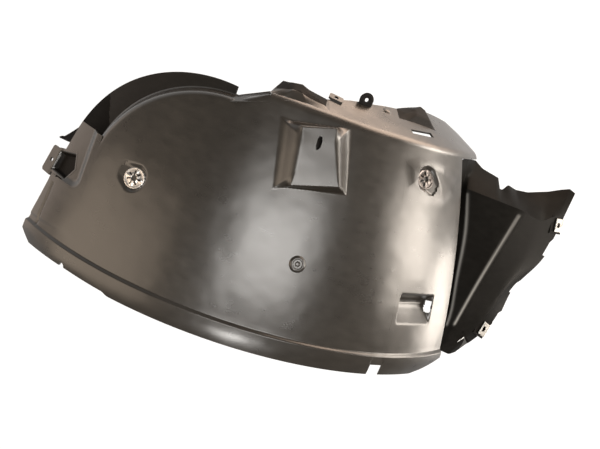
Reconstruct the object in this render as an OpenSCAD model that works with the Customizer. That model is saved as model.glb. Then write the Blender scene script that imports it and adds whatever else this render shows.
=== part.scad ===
// Wheel arch liner, right-hand, moulded in one piece, with the metal and plastic fixings that stay on it.
// The origin is the top of the outboard rim. +Y runs along the wheel axis towards the middle of the car,
// +X is towards the bumper and +Z is up. The sheet is drawn round the wheel axis and then moved down by the
// rim's radius. Angles round the wheel are measured from straight up, positive towards +X.

/* [Barrel] */
// Radius of the outboard rim about the wheel axis
rim_r = 350; // [340:1:360]
// Radius of the barrel where it meets the inboard shoulder
shoulder_r = 272; // [266:1:278]
// Width of the barrel from the rim to the shoulder, along the wheel axis
barrel_w = 262; // [256:1:268]
// Bulge of the barrel between rim and shoulder
dome = 7; // [4:0.5:10]
// Wall thickness of the moulding
wall = 2.5; // [2:0.1:3]
// Angle that the barrel covers on the tail side of the top
arc_tail = 49.5; // [48.5:0.5:50]
// Angle that the barrel covers on the bumper side of the top
arc_front = 50; // [49:0.5:51]

/* [Rim flange] */
// Width of the flange that lies against the wing's edge
flange_w = 22; // [18:1:26]
// Height of the step between the flange and the barrel
flange_step = 4; // [2:0.5:6]
// Width of the square notch in the rim
notch_w = 17; // [12:1:24]
// Depth of the square notch in the rim
notch_d = 13; // [8:1:16]
// Radius of the round notch in the rim
round_notch_r = 3.5; // [2.5:0.5:5]

/* [Side wall] */
// Slope of the side wall away from square to the wheel axis
side_slope = 25; // [22:1:28]
// Radius of the rounded shoulder between barrel and side wall
shoulder_round = 16; // [12:1:20]
// Radius of the rounded corner above the tail, seen from over the arch
corner_r = 140; // [137:1:143]
// Depth of the wall that drops from the rounded corner to the seal flange
corner_drop = 26; // [22:1:30]
// Width of the seal flange at its tail end
seal_w = 34; // [30:1:38]
// Height of the hole lug on the side wall
lug_h = 14; // [12:1:18]
// Radius of the holes in the lugs
lug_hole_r = 2.3; // [2:0.1:3]

/* [Pad and pockets] */
// Height of the raised pad above the barrel
pad_h = 15; // [12:1:18]
// Length of the slit in the pad
slit_l = 14; // [10:1:18]
// Width of the slit in the pad
slit_w = 4; // [3:0.5:5]
// Depth of the wedge pocket near the bumper end of the rim
pocket_h = 17; // [14:1:20]
// Radius of the drain hole in the wedge pocket's end
drain_r = 6; // [4:0.5:6.5]
// Depth of the platform beside the tail edge
platform_h = 5; // [3:0.5:7]
// Depth of the return along the tail edge
return_h = 12; // [8:1:16]

/* [Fixings] */
// Radius of the pressed washer nuts
washer_r = 12.5; // [11:0.5:13]
// Sheet thickness of the washer nuts
washer_t = 1; // [0.8:0.1:1.4]
// Radius of the seat that each washer nut lies on
seat_r = 16.5; // [15.5:0.5:18]
// Depth of each seat at its middle
seat_depth = 4; // [3.5:0.5:6]
// Height of the plateau round the front seat
plateau_h = 3; // [2.5:0.5:4]
// Radius of the stud hole in a washer nut
stud_r = 3; // [2.5:0.5:3.5]
// Radius of the head of the push retainer
retainer_r = 9.5; // [8:0.5:11]
// Radius of the shank of the push retainer
shank_r = 3.6; // [3:0.1:4.2]
// Length of a spring nut along the edge of its tab
nut_l = 18; // [15:1:20]
// Reach of a spring nut over its tab
nut_reach = 16; // [14:1:18]
// Sheet thickness of a spring nut
nut_t = 1; // [0.8:0.1:1.5]
// Radius of the screw hole in a spring nut
screw_r = 2.2; // [1.8:0.1:2.6]
// Clearance between a fixing and the moulding
clearance = 0.25; // [0.1:0.05:0.4]

/* [Hidden] */
$fn = 96;
black = [0.13, 0.12, 0.11];
steel = [0.75, 0.74, 0.71];
far = 500;
cut_l = 20;

// The moulding's section: radius, and place along the wheel axis
barrel_start = [rim_r - flange_step, flange_w + flange_step];
shoulder = [shoulder_r, barrel_w];
cone_tilt = atan2(barrel_start.x - shoulder.x, shoulder.y - barrel_start.y);
bow_steps = 12;
round_steps = 5;
side_reach = 74;

// Radius of the barrel's outer surface at a place along the wheel axis
function barrel_r(y) = let (u = (y - barrel_start.y) / (shoulder.y - barrel_start.y))
    barrel_start.x + u * (shoulder.x - barrel_start.x) + 4 * dome * u * (1 - u);

// The rounded shoulder is an arc that touches the barrel and the side wall
bow_tilt = cone_tilt + atan(4 * dome / (shoulder.y - barrel_start.y));
half_turn = (90 - side_slope - bow_tilt) / 2;
round_run = shoulder_round * tan(half_turn);
round_c = shoulder + round_run * [sin(bow_tilt), -cos(bow_tilt)] - shoulder_round * [cos(bow_tilt), sin(bow_tilt)];
round_path = [for (i = [0:round_steps]) let (a = bow_tilt + 2 * half_turn * i / round_steps)
    round_c + shoulder_round * [cos(a), sin(a)]];
side_start = shoulder + round_run * [-cos(side_slope), sin(side_slope)];
bow_end = shoulder.y - round_run;
barrel_path = [for (i = [0:bow_steps]) let (y = barrel_start.y + (bow_end - barrel_start.y) * i / bow_steps)
    [barrel_r(y), y]];
rim_path = [[rim_r, 0], [rim_r + 1, flange_w / 2], [rim_r, flange_w]];
side_path = [side_start + side_reach * [-cos(side_slope), sin(side_slope)]];
whole_path = concat(rim_path, barrel_path, round_path, side_path);
shoulder_path = concat(round_path, side_path);

// Shifts each point of a path to its left, square to the line between its neighbours
function shifted(path, d) = [for (i = [0:len(path) - 1])
    let (a = path[max(i - 1, 0)], b = path[min(i + 1, len(path) - 1)], v = (b - a) / norm(b - a))
    path[i] + d * [-v.y, v.x]];
function flipped(path) = [for (i = [len(path) - 1:-1:0]) path[i]];

// Moves each side of a convex outline inwards
function inset(outline, d) = let (n = len(outline)) [for (i = [0:n - 1])
    let (a = outline[(i + n - 1) % n], b = outline[i], c = outline[(i + 1) % n],
         u = (b - a) / norm(b - a), v = (c - b) / norm(c - b), p = [-u.y, u.x], q = [-v.y, v.x])
    b + d * (p + q) / (1 + p * q)];

// Revolves a path's wall about the wheel axis, between two angles and two depths under the path
module band(path, from, to, top, bottom) {
    rotate([-90, 0, 0]) rotate_extrude(angle = to - from, start = from - 90)
        polygon(concat(shifted(path, top), flipped(shifted(path, bottom))));
}

// Moves what is drawn round the wheel axis so that the top of the rim is the origin
module from_rim() {
    translate([0, 0, -rim_r]) children();
}

// A solid between an outline at one height and a like outline at another
module frustum(low, z_low, high, z_high) {
    n = len(low);
    points = concat([for (p = low) [p.x, p.y, z_low]], [for (p = high) [p.x, p.y, z_high]]);
    polyhedron(points, concat(
        [for (i = [1:n - 2]) [0, i, i + 1]],
        [for (i = [1:n - 2]) [n, n + i + 1, n + i]],
        [for (i = [0:n - 1]) let (j = (i + 1) % n) each [[i, n + i, n + j], [i, n + j, j]]]));
}

// Direction square to a grid of points at one of them
function grid_normal(rows, i, j) = let (
    a = rows[max(i - 1, 0)][j], b = rows[min(i + 1, len(rows) - 1)][j],
    c = rows[i][max(j - 1, 0)], d = rows[i][min(j + 1, len(rows[0]) - 1)], n = cross(a - b, d - c)) n / norm(n);

// A sheet through rows of points, thickened to the side that its normals leave
module folded_sheet(rows, t) {
    m = len(rows[0]);
    n = len(rows);
    top = [for (i = [0:n - 1]) for (j = [0:m - 1]) rows[i][j]];
    under = [for (i = [0:n - 1]) for (j = [0:m - 1]) rows[i][j] + t * grid_normal(rows, i, j)];
    low = n * m;
    rim = concat([for (j = [0:m - 1]) j], [for (i = [1:n - 1]) i * m + m - 1],
                 [for (j = [m - 2:-1:0]) (n - 1) * m + j], [for (i = [n - 2:-1:1]) i * m]);
    polyhedron(concat(top, under), concat(
        [for (i = [0:n - 2]) for (j = [0:m - 2]) let (a = i * m + j, b = a + m) each
            [[a, a + 1, b + 1], [a, b + 1, b]]],
        [for (i = [0:n - 2]) for (j = [0:m - 2]) let (a = low + i * m + j, b = a + m) each
            [[a, b + 1, a + 1], [a, b, b + 1]]],
        [for (k = [0:len(rim) - 1]) let (a = rim[k], b = rim[(k + 1) % len(rim)]) each
            [[a, low + a, b], [b, low + a, low + b]]]));
}

// Places children on the barrel, with +Z square to it and +Y towards the shoulder
module on_barrel(angle, y) {
    rotate([0, angle, 0]) translate([0, y, barrel_r(y)]) rotate([-cone_tilt, 0, 0]) children();
}

// Places children on the side wall, with +Z square to it and +Y towards its inner edge
module on_side(angle, reach) {
    at = side_start + reach * [-cos(side_slope), sin(side_slope)];
    rotate([0, angle, 0]) translate([0, at.y, at.x]) rotate([side_slope - 90, 0, 0]) children();
}

// Extrudes an outline seen from over the arch through the whole part
module seen_from_over() {
    linear_extrude(far) children();
}

// Extrudes an outline seen along the wheel axis, in X and Z, through the whole part
module seen_along_axis() {
    translate([0, far, 0]) rotate([90, 0, 0]) linear_extrude(far + 50) children();
}

// Rounded corner and platform above the tail, seen from over the arch
corner_run = [32, 18];
corner_c = [-75, barrel_w - corner_r - corner_run.y];
platform_edge = corner_c.x - corner_r - 1;
platform_y = [corner_c.y - 25, corner_c.y + 46];
seal_c = corner_c + [-15, -12];
seal_r = corner_r + seal_w - 11;
seal_tip = [for (p = [[-57, 1], [-31, 10], [-15, 20], [1, 38], [-32, 28]]) corner_c - [corner_r, 0] + p];

module corner_outline() {
    translate(corner_c) circle(corner_r);
    polygon([[-far, -50], [-far, platform_y[0]], [platform_edge, platform_y[0]], [platform_edge, corner_c.y],
             corner_c, corner_c + [0, corner_r], corner_c + [0, corner_r] + corner_run,
             [corner_c.x + corner_run.x, far], [far, far], [far, -50]]);
}

// The side wall's inner edge: angle round the wheel, and how far the wall reaches in from the shoulder
side_reach_at = [[-9.3, 1], [3.7, 22], [12, 39], [20.4, 47], [30.3, 54], [42.6, 66], [59.3, 52], [63.5, 17]];
side_edge = [for (e = side_reach_at) (side_start.x - e[1] * cos(side_slope)) * [sin(e[0]), cos(e[0])]];
side_angle = 62;

module side_outline() {
    last = side_edge[len(side_edge) - 1];
    polygon(concat([[-far, 0], [side_edge[0].x, 0]], side_edge, [[far, last.y], [far, far], [-far, far]]));
}

// The barrel, its rim flange and the side wall
module main_sheet() {
    intersection() {
        union() {
            band(whole_path, -arc_tail, arc_front, 0, wall);
            band(shoulder_path, arc_front, side_angle, 0, wall);
        }
        seen_from_over() corner_outline();
        seen_along_axis() side_outline();
    }
}

// The wall that drops from the rounded corner, and the seal flange along its foot
module corner_wall() {
    intersection() {
        band(barrel_path, -arc_tail, -10, 0, corner_drop);
        seen_from_over() difference() {
            translate(corner_c) circle(corner_r);
            translate(corner_c) circle(corner_r - wall);
            translate([corner_c.x, 0]) square(far);
            translate([-far, 0]) square([2 * far, platform_y[0]]);
        }
    }
}

module corner_run_wall() {
    start = corner_c + [0, corner_r];
    intersection() {
        band(barrel_path, -30, 0, 0, corner_drop);
        seen_from_over() polygon([start, start + corner_run, start + corner_run - [0, 1.3 * wall], start - [0, 1.1 * wall]]);
    }
}

module seal_flange() {
    intersection() {
        band(barrel_path, -67, -10, corner_drop - wall, corner_drop);
        seen_from_over() {
            difference() {
                translate(seal_c) circle(seal_r);
                translate(corner_c) circle(corner_r - wall);
                translate([corner_c.x - 4, 0]) square(far);
                polygon([[-far, 0], [-far, platform_y[0]], seal_tip[1], seal_tip[2], seal_tip[3], [0, seal_tip[3].y], [0, 0]]);
            }
            polygon(seal_tip);
        }
    }
}

// The lower platform beside the tail edge, and the ear that stands out from it
ear_at = [-52, 95];
ear_lean = [3, 6, 0];
ear_sink = platform_h - 1;
ear_size = [30, 34];
ear_root = 7;

module platform() {
    intersection() {
        band(barrel_path, -arc_tail, -35, platform_h, platform_h + wall);
        seen_from_over() translate([-far, platform_y[0]])
            square([far + platform_edge + 2, platform_y[1] - platform_y[0]]);
    }
    intersection() {
        band(barrel_path, -arc_tail, -35, 0, platform_h + wall);
        seen_from_over() translate([-far, platform_y[0] - wall]) square([far + platform_edge, wall]);
    }
}

module on_ear() {
    on_barrel(ear_at[0], ear_at[1]) translate([0, 0, -ear_sink]) rotate(ear_lean) children();
}

module ear() {
    on_ear() translate([-ear_size.x / 2, -ear_size.y / 2, -wall]) cube([ear_size.x + ear_root, ear_size.y, wall]);
}

module tail_return() {
    band([for (p = whole_path) if (p.y < platform_y[0]) p], -arc_tail, -arc_tail + 0.45, 0, return_h);
}

// The raised pad: its foot and its face, seen square to the barrel
pad_at = [5, 215];
pad_foot = [[-42, 31], [-36, -38], [43, -33], [29, 37]];
pad_face = [[-18, 25], [-15, -30], [37, -25], [22, 31]];
slit_at = [-4, 15];

module pad_block(grow) {
    on_barrel(pad_at[0], pad_at[1])
        frustum(inset(pad_foot, -grow), -6, inset(pad_face, -grow), pad_h + grow);
}

// The wedge pocket, with a steep upper wall, a sloping floor and a drain hole in its bumper end
pocket_at = [37.5, 77];
pocket_l = 62;

module pocket_block(grow) {
    on_barrel(pocket_at[0], pocket_at[1]) translate([pocket_l / 2 + grow, 0, 0]) rotate([90, 0, -90])
        linear_extrude(pocket_l + 2 * grow)
            polygon([[-24 - 2 * grow, 4], [-2, -pocket_h - 1.3 * grow], [8 + grow, -pocket_h - grow],
                     [16 + 1.2 * grow, 4]]);
}

// Seats of the two washer nuts: angle, place along the axis, and how the floor leans
seats = [[-29, 127, [0, 9, 0]], [34.8, 226, [-6, -9, 0]]];

module on_seat(i) {
    on_barrel(seats[i][0], seats[i][1]) rotate(seats[i][2]) translate([0, 0, -seat_depth]) children();
}

// The plateau that the front seat is sunk in, seen square to the barrel at that seat
plateau_outline = [[-36, 14], [-28, -12], [0, -25], [36, -28], [56, -12], [58, 8], [30, 20], [-16, 20]];

module plateau_block(d) {
    intersection() {
        band(barrel_path, seats[1][0] - 9, seats[1][0] + 13, d - plateau_h, d > 0 ? wall + d : wall - 0.5);
        on_barrel(seats[1][0], seats[1][1]) translate([0, 0, -cut_l]) linear_extrude(2 * cut_l)
            polygon(inset(plateau_outline, d));
    }
}

module seat_cup(i) {
    difference() {
        intersection() {
            on_seat(i) translate([0, 0, -wall]) cylinder(r = seat_r + wall, h = cut_l);
            band(barrel_path, seats[i][0] - 6, seats[i][0] + 6, i == 1 ? -plateau_h : 0, 30);
        }
        on_seat(i) cylinder(r = seat_r, h = cut_l);
    }
}

retainer_at = [7.5, 105];

// Notches in the rim, and its slanted trim at the bumper end: angle round the wheel, place along the axis, and turn
notch_angle = 29.4;
round_notch_at = [-35.3, 4];
rim_trim = [47.5, 5, 18];
trim_l = 64;

// The end panel beyond the barrel, from the valley beside the barrel to the bumper edge. Each row starts on the
// barrel's end, and gives the folds beyond it as steps from there. The first row is the top of the upright panel.
function end_point(y) = let (r = barrel_r(y) - wall / 2, a = arc_front - 0.5) [r * sin(a), y, r * cos(a)];
panel_folds = [
    [254, [15, 2, -22], [34, 0, -53], [109, -23, -77], [157, -13, -92], [203, 0, -108]],
    [216, [9, 3, -28], [13, 6, -16], [97, 1, -31], [136, -8, -55], [176, 10, -86]],
    [165, [7, 0, -28], [16, 5, -20], [67, -5, -25], [113, -9, -52], [150, -3, -79]],
    [110, [8, 0, -27], [12, 2, -18], [42, 4, -22], [86, -6, -46], [106, 0, -68]],
    [62, [7, -2, -27], [11, 2, -17], [23, 6, -17], [60, 0, -40], [86, -2, -62]],
    [14, [-2, 0, -25], [2, 1, -21], [10, 3, -22], [26, -2, -32], [39, 0, -45]]];
panel_rows = [for (f = panel_folds) let (start = end_point(f[0])) [start, for (i = [1:len(f) - 1]) start + f[i]]];

// The tabs that carry the spring nuts: the row whose outer end they stand at, the step from there, and the turn
tabs = [[1, [1, -19, 3], [-14, 35, 0]], [4, [-6, -11, 7], [-20, 32, -25]], [5, [3, 9, 0], [-8, 30, -42]]];
tab_l = nut_l + 6;
tab_reach = 26;
hole_from_edge = nut_reach / 2 + 1;

module at_tab(i) {
    row = panel_rows[tabs[i][0]];
    translate(row[len(row) - 1] + tabs[i][1]) rotate(tabs[i][2]) children();
}

module tab(i) {
    at_tab(i) translate([-tab_reach, -tab_l / 2, -wall]) cube([tab_reach, tab_l, wall]);
}

// Room round each spring nut, cut from the panel before its tab goes on
module nut_room(i) {
    side = clearance + nut_t + 0.5;
    at_tab(i) translate([-nut_reach - side, -nut_l / 2 - side, -wall - side - 4])
        cube([nut_reach + 30, nut_l + 2 * side, wall + 4 + 2 * side]);
}

// The bits that stand on the side wall, each at an angle round the wheel and a reach from the shoulder
blister_at = [-4, 22];
blister_foot = [[-34, -22], [30, -20], [24, 16], [-24, 16]];
blister_face = [[-18, -10], [14, -8], [10, 10], [-14, 10]];
box_at = [40, 42];
box_foot = [[-34, -12], [24, -16], [30, 20], [-26, 24]];
box_face = [[-22, -4], [14, -8], [20, 16], [-18, 18]];
stand_h = 8;
lug_at = [16.5, 40];
lug_r = 8;
hook_at = [8.2, 27];
hook_side = [[-4.5, -1], [4.5, -1], [4.5, 0.5], [-3, 9.5], [-4.5, 9.5]];
hook_w = 6;
slot_at = [35, 14];
slot_size = [28, 8];

module side_blister() {
    on_side(blister_at.x, blister_at.y) frustum(blister_foot, -wall, blister_face, stand_h);
}

module side_box() {
    on_side(box_at.x, box_at.y) frustum(box_foot, -wall, box_face, stand_h);
}

module on_lug() {
    on_side(lug_at.x, lug_at.y) rotate([90 - side_slope, 0, 0]) translate([0, lug_h - lug_r, -wall]) children();
}

module side_lug() {
    on_lug() cylinder(r = lug_r, h = wall);
    on_lug() translate([-lug_r, -lug_h, 0]) cube([2 * lug_r, lug_h, wall]);
}

// A small hook for a cable clip, beside the blister
module side_hook() {
    on_side(hook_at.x, hook_at.y) translate([0, hook_w / 2, 0]) rotate([90, 0, 0]) linear_extrude(hook_w)
        polygon(hook_side);
}

module liner() color(black) from_rim() {
    difference() {
        union() {
            difference() {
                main_sheet();
                pad_block(-wall);
                pocket_block(0);
                plateau_block(wall);
                for (i = [0, 1]) on_seat(i) cylinder(r = seat_r, h = cut_l);
            }
            difference() {
                plateau_block(0);
                plateau_block(wall);
                on_seat(1) cylinder(r = seat_r, h = cut_l);
            }
            corner_wall();
            corner_run_wall();
            seal_flange();
            platform();
            ear();
            tail_return();
            difference() {
                pad_block(0);
                pad_block(-wall);
            }
            difference() {
                intersection() {
                    pocket_block(wall);
                    band(barrel_path, 25, arc_front, 0, 40);
                }
                pocket_block(0);
            }
            for (i = [0, 1]) seat_cup(i);
            difference() {
                folded_sheet(panel_rows, wall);
                for (i = [0:2]) nut_room(i);
            }
            for (i = [0:2]) tab(i);
            side_blister();
            side_box();
            side_lug();
            side_hook();
        }
        on_barrel(pad_at[0], pad_at[1]) translate([slit_at.x - slit_w / 2, slit_at.y - slit_l / 2, 0])
            cube([slit_w, slit_l, 2 * cut_l]);
        rotate([0, notch_angle, 0]) translate([-notch_w / 2, -1, rim_r - cut_l]) cube([notch_w, notch_d + 1, 2 * cut_l]);
        rotate([0, round_notch_at.x, 0]) translate([0, round_notch_at.y, rim_r - cut_l])
            cylinder(r = round_notch_r, h = 2 * cut_l);
        rotate([0, rim_trim[0], 0]) translate([0, rim_trim[1], rim_r - cut_l]) rotate(rim_trim[2])
            translate([-trim_l / 2, -cut_l, 0]) cube([trim_l, cut_l, 2 * cut_l]);
        on_barrel(pocket_at[0], pocket_at[1]) translate([pocket_l / 2 - 4, 2, -8]) rotate([0, 90, 0])
            cylinder(r = drain_r, h = 12);
        for (i = [0, 1]) on_seat(i) translate([0, 0, -cut_l / 2])
            cylinder(r = stud_r + 1 + washer_t + clearance, h = cut_l);
        on_barrel(retainer_at[0], retainer_at[1]) translate([0, 0, -cut_l / 2])
            cylinder(r = shank_r + clearance, h = cut_l);
        for (i = [0:2]) at_tab(i) translate([-hole_from_edge, 0, -cut_l / 2]) cylinder(r = screw_r + 2, h = cut_l);
        on_lug() translate([0, 0, -cut_l / 2]) cylinder(r = lug_hole_r, h = cut_l);
        on_ear() translate([0, 0, -cut_l / 2]) cylinder(r = lug_hole_r, h = cut_l);
        on_side(slot_at.x, slot_at.y) translate([-slot_size.x / 2, -slot_size.y / 2, -cut_l / 2])
            cube([slot_size.x, slot_size.y, cut_l]);
    }
}

// A pressed washer nut: a toothed disc with a neck clinched through the moulding
module washer_nut(i) color(steel) from_rim() {
    neck_r = stud_r + washer_t + 1;
    on_seat(i) difference() {
        union() {
            cylinder(r = washer_r, h = washer_t);
            translate([0, 0, -wall - washer_t]) cylinder(r = neck_r, h = wall + 2 * washer_t);
            translate([0, 0, -wall - washer_t]) cylinder(r = neck_r + 1.5, h = washer_t);
        }
        translate([0, 0, -wall - 2]) cylinder(r = stud_r, h = 10);
    }
}

module tail_washer_nut() { washer_nut(0); }
module front_washer_nut() { washer_nut(1); }

module push_retainer() color(black) from_rim() {
    on_barrel(retainer_at[0], retainer_at[1]) difference() {
        rotate_extrude() polygon([[0, 2.6], [2, 2.6], [2, 1.6], [retainer_r - 4, 1.6], [retainer_r - 4, 2.4],
            [retainer_r - 2, 2.4], [retainer_r, 0], [shank_r, 0], [shank_r, -wall - 0.3], [shank_r + 1.4, -wall - 1],
            [2, -16], [0, -16]]);
        translate([0, 0, 1.8]) cylinder(r = 1, h = 2);
    }
}

// A spring nut: a strip folded round the tab's edge, with a wide hole over the tab and a threaded collar under it
module spring_nut(i) color(steel) from_rim() {
    gap = wall + 2 * clearance;
    at_tab(i) difference() {
        union() {
            translate([-nut_reach, -nut_l / 2, clearance]) cube([nut_reach + nut_t + clearance, nut_l, nut_t]);
            translate([-nut_reach, -nut_l / 2, -wall - clearance - nut_t])
                cube([nut_reach + nut_t + clearance, nut_l, nut_t]);
            translate([clearance, -nut_l / 2, -wall - clearance]) cube([nut_t, nut_l, gap]);
            translate([-hole_from_edge, 0, -wall - clearance - nut_t - 4]) cylinder(r = screw_r + 1.6, h = 4.5);
        }
        translate([-hole_from_edge, 0, -wall - cut_l]) cylinder(r = screw_r, h = cut_l);
        translate([-hole_from_edge, 0, 0]) cylinder(r = screw_r + 1, h = cut_l);
    }
}

module upper_spring_nut() { spring_nut(0); }
module middle_spring_nut() { spring_nut(1); }
module lower_spring_nut() { spring_nut(2); }

liner();
tail_washer_nut();
front_washer_nut();
push_retainer();
upper_spring_nut();
middle_spring_nut();
lower_spring_nut();
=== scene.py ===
# %% [markdown]
# # A moulded wheel arch liner
# The liner is one thin sheet of black plastic, bowed round the wheel, with a few metal fixings on it.
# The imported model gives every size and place. Here each area of the sheet is made again as a fine grid,
# so that the gloss runs smoothly over it, and every edge gets the small radius that a mould leaves.

# %% Frame and sizes
from math import atan, atan2, cos, degrees, exp, hypot, pi, radians, sin, sqrt, tan

import bmesh
import bpy
from mathutils import Matrix, Vector


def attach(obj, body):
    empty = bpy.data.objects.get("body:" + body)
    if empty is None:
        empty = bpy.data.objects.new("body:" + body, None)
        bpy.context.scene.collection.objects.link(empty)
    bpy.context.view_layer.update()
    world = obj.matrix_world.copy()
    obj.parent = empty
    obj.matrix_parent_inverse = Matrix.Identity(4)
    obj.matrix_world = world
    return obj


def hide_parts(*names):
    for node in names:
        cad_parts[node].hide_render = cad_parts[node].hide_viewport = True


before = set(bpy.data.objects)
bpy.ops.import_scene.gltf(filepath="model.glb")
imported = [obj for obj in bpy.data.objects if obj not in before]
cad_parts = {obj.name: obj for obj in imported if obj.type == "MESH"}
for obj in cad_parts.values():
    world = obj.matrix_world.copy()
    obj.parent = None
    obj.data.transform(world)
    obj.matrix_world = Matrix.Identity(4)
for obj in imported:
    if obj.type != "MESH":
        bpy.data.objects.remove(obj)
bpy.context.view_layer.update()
MM = 0.001

# %% [markdown]
# ## Camera
# The camera was found by fitting the barrel's outline in the photograph, so it is stated as a place and two
# directions; the third is square to both. A long lens keeps the far edge of the sheet nearly as large as the
# near one.

# %% Camera
camera_place = Vector((-72.97, 361.17, 800.13)) * MM
camera_right = Vector((0.94092, 0.33722, 0.03073)).normalized()
camera_up = Vector((-0.31651, 0.90811, -0.27414)).normalized()
camera_data = bpy.data.cameras.new("photo_camera")
camera_data.lens = 48.21
camera_data.sensor_width = 36
camera = bpy.data.objects.new("photo_camera", camera_data)
bpy.context.scene.collection.objects.link(camera)
camera_turn = Matrix((camera_right, camera_up, camera_right.cross(camera_up))).transposed()
camera.matrix_world = Matrix.Translation(camera_place) @ camera_turn.to_4x4()
bpy.context.scene.camera = camera
print("camera looks along", [round(x, 3) for x in -camera_turn.col[2]])

# %% [markdown]
# ## The barrel's section
# Seen along the sheet, the section is a rim flange, a small step, a long bowed run, a rounded shoulder and
# a straight side wall. Every piece below asks these few functions where the surface is, so they all agree.

# %% Sizes of the sheet, in millimetres and degrees
rim_r, flange_w, flange_step = 350.0, 22.0, 4.0
shoulder_r, barrel_w, dome = 272.0, 262.0, 7.0
wall = 2.5
arc_tail, arc_front, side_angle = 49.5, 50.0, 62.0
side_slope, shoulder_round = 25.0, 16.0
bow_start = flange_w + flange_step
bow_start_r = rim_r - flange_step
cone_tilt = degrees(atan2(bow_start_r - shoulder_r, barrel_w - bow_start))


def barrel_r(y):
    """Radius of the barrel's outer surface at a place along the wheel axis."""
    u = (y - bow_start) / (barrel_w - bow_start)
    return bow_start_r + u * (shoulder_r - bow_start_r) + 4 * dome * u * (1 - u)


def turned(angle, r, y):
    """The point at an angle round the wheel, from straight up towards +X."""
    a = radians(angle)
    return Vector((r * sin(a), y, r * cos(a)))


def barrel_point(angle, y, lift=0.0):
    """A point on the barrel, lifted square to the surface."""
    slope = barrel_r(y + 0.5) - barrel_r(y - 0.5)
    n = hypot(1, slope)
    return turned(angle, barrel_r(y) + lift / n, y - lift * slope / n)


def down_side(r, y, reach):
    """Radius and place along the axis, after a run down the slope of the side wall."""
    return r - reach * cos(radians(side_slope)), y + reach * sin(radians(side_slope))


bow_tilt = cone_tilt + degrees(atan(4 * dome / (barrel_w - bow_start)))
half_turn = (90 - side_slope - bow_tilt) / 2
round_run = shoulder_round * tan(radians(half_turn))
round_centre = (shoulder_r + round_run * sin(radians(bow_tilt)) - shoulder_round * cos(radians(bow_tilt)),
                barrel_w - round_run * cos(radians(bow_tilt)) - shoulder_round * sin(radians(bow_tilt)))
side_start = (shoulder_r - round_run * cos(radians(side_slope)),
              barrel_w + round_run * sin(radians(side_slope)))
bow_end = barrel_w - round_run
print("shoulder turns", round(2 * half_turn, 1), "degrees to a side wall at radius", round(side_start[0], 1))

# %% [markdown]
# ## Grids that become sheet
# A grid from `bmesh.ops.create_grid` is moved point by point onto the surface, faces that fall outside the
# outline are deleted, and `bmesh.ops.solidify` gives it the wall. Edges that turn sharply are marked sharp,
# and the rest shade smoothly, which is what makes moulded plastic look moulded.

# %% Helpers for sheet pieces
weld = 0.01
below_rim = Vector((0, 0, rim_r))


def finish_piece(name, bm, material, sharp=38.0):
    """Turns a bmesh in millimetres round the wheel axis into a piece that rides on the part."""
    bmesh.ops.translate(bm, vec=-below_rim, verts=bm.verts)
    bmesh.ops.scale(bm, vec=(MM, MM, MM), verts=bm.verts)
    for face in bm.faces:
        face.smooth = True
    for edge in bm.edges:
        edge.smooth = len(edge.link_faces) == 2 and edge.calc_face_angle(0) < radians(sharp)
    mesh = bpy.data.meshes.new(name)
    bm.to_mesh(mesh)
    bm.free()
    mesh.materials.append(material)
    piece = bpy.data.objects.new(name, mesh)
    bpy.context.scene.collection.objects.link(piece)
    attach(piece, "root")
    print(name, len(mesh.polygons), "faces")
    return piece


def sheet_piece(name, columns, rows, place, material, keep=None, thickness=wall):
    """A grid of columns by rows, moved by place(i, j), trimmed by keep(point) and given a wall."""
    bm = bmesh.new()
    bmesh.ops.create_grid(bm, x_segments=columns - 1, y_segments=rows - 1, size=0.5)
    for vert in bm.verts:
        i = round((vert.co.x + 0.5) * (columns - 1))
        j = round((vert.co.y + 0.5) * (rows - 1))
        vert.co = place(i, j)
    if keep is not None:
        outside = [f for f in bm.faces if not all(keep(v.co) for v in f.verts)]
        bmesh.ops.delete(bm, geom=outside, context="FACES")
    bmesh.ops.remove_doubles(bm, verts=bm.verts, dist=weld)
    bmesh.ops.solidify(bm, geom=bm.faces[:], thickness=thickness)
    return finish_piece(name, bm, material)


def turned_piece(name, axes, profile, around, material, waves=None):
    """A closed profile of (radius, height) points turned about Z; waves(angle, r, z) may shape it."""
    bm = bmesh.new()
    bmesh.ops.create_grid(bm, x_segments=around, y_segments=len(profile), size=0.5)
    for vert in bm.verts:
        a = 2 * pi * (vert.co.x + 0.5)
        r, z = profile[round((vert.co.y + 0.5) * len(profile)) % len(profile)]
        if waves is not None:
            r, z = waves(a, r, z)
        vert.co = axes @ Vector((r * cos(a), r * sin(a), z))
    bmesh.ops.remove_doubles(bm, verts=bm.verts, dist=weld)
    bmesh.ops.recalc_face_normals(bm, faces=bm.faces)
    return finish_piece(name, bm, material, 50.0)


def darken(piece, material, test):
    """Paints shade: gives a second, darker material to the faces whose middle, in the grid's millimetres,
    passes a test.
    """
    piece.data.materials.append(material)
    for face in piece.data.polygons:
        if test(face.center / MM + below_rim):
            face.material_index = 1


def line_distance(p, line):
    """Distance from a point to a line of straight runs."""
    best = 1e9
    for low, high in zip(line, line[1:]):
        along = high - low
        share = max(0.0, min(1.0, (p - low).dot(along) / along.length_squared))
        best = min(best, (p - low - along * share).length)
    return best


ridge_highlight_width = 1.9


def store_ridge_highlight(piece, ridges):
    """Stores a painted highlight: how near each point is to some (line, strength) ridges, for the end panel's
    material to lighten.
    """
    values = piece.data.attributes.new("ridge", "FLOAT", "POINT")
    for vert, value in zip(piece.data.vertices, values.data):
        p = vert.co / MM + below_rim
        nearness = [strength * exp(-(line_distance(p, line) / ridge_highlight_width) ** 2) for line, strength in ridges]
        value.value = max(nearness, default=0.0)


def spaced(start, end, step):
    """Evenly spaced values from start to end, about a step apart, both ends included."""
    count = max(1, round(abs(end - start) / step))
    return [start + (end - start) * k / count for k in range(count + 1)]


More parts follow.
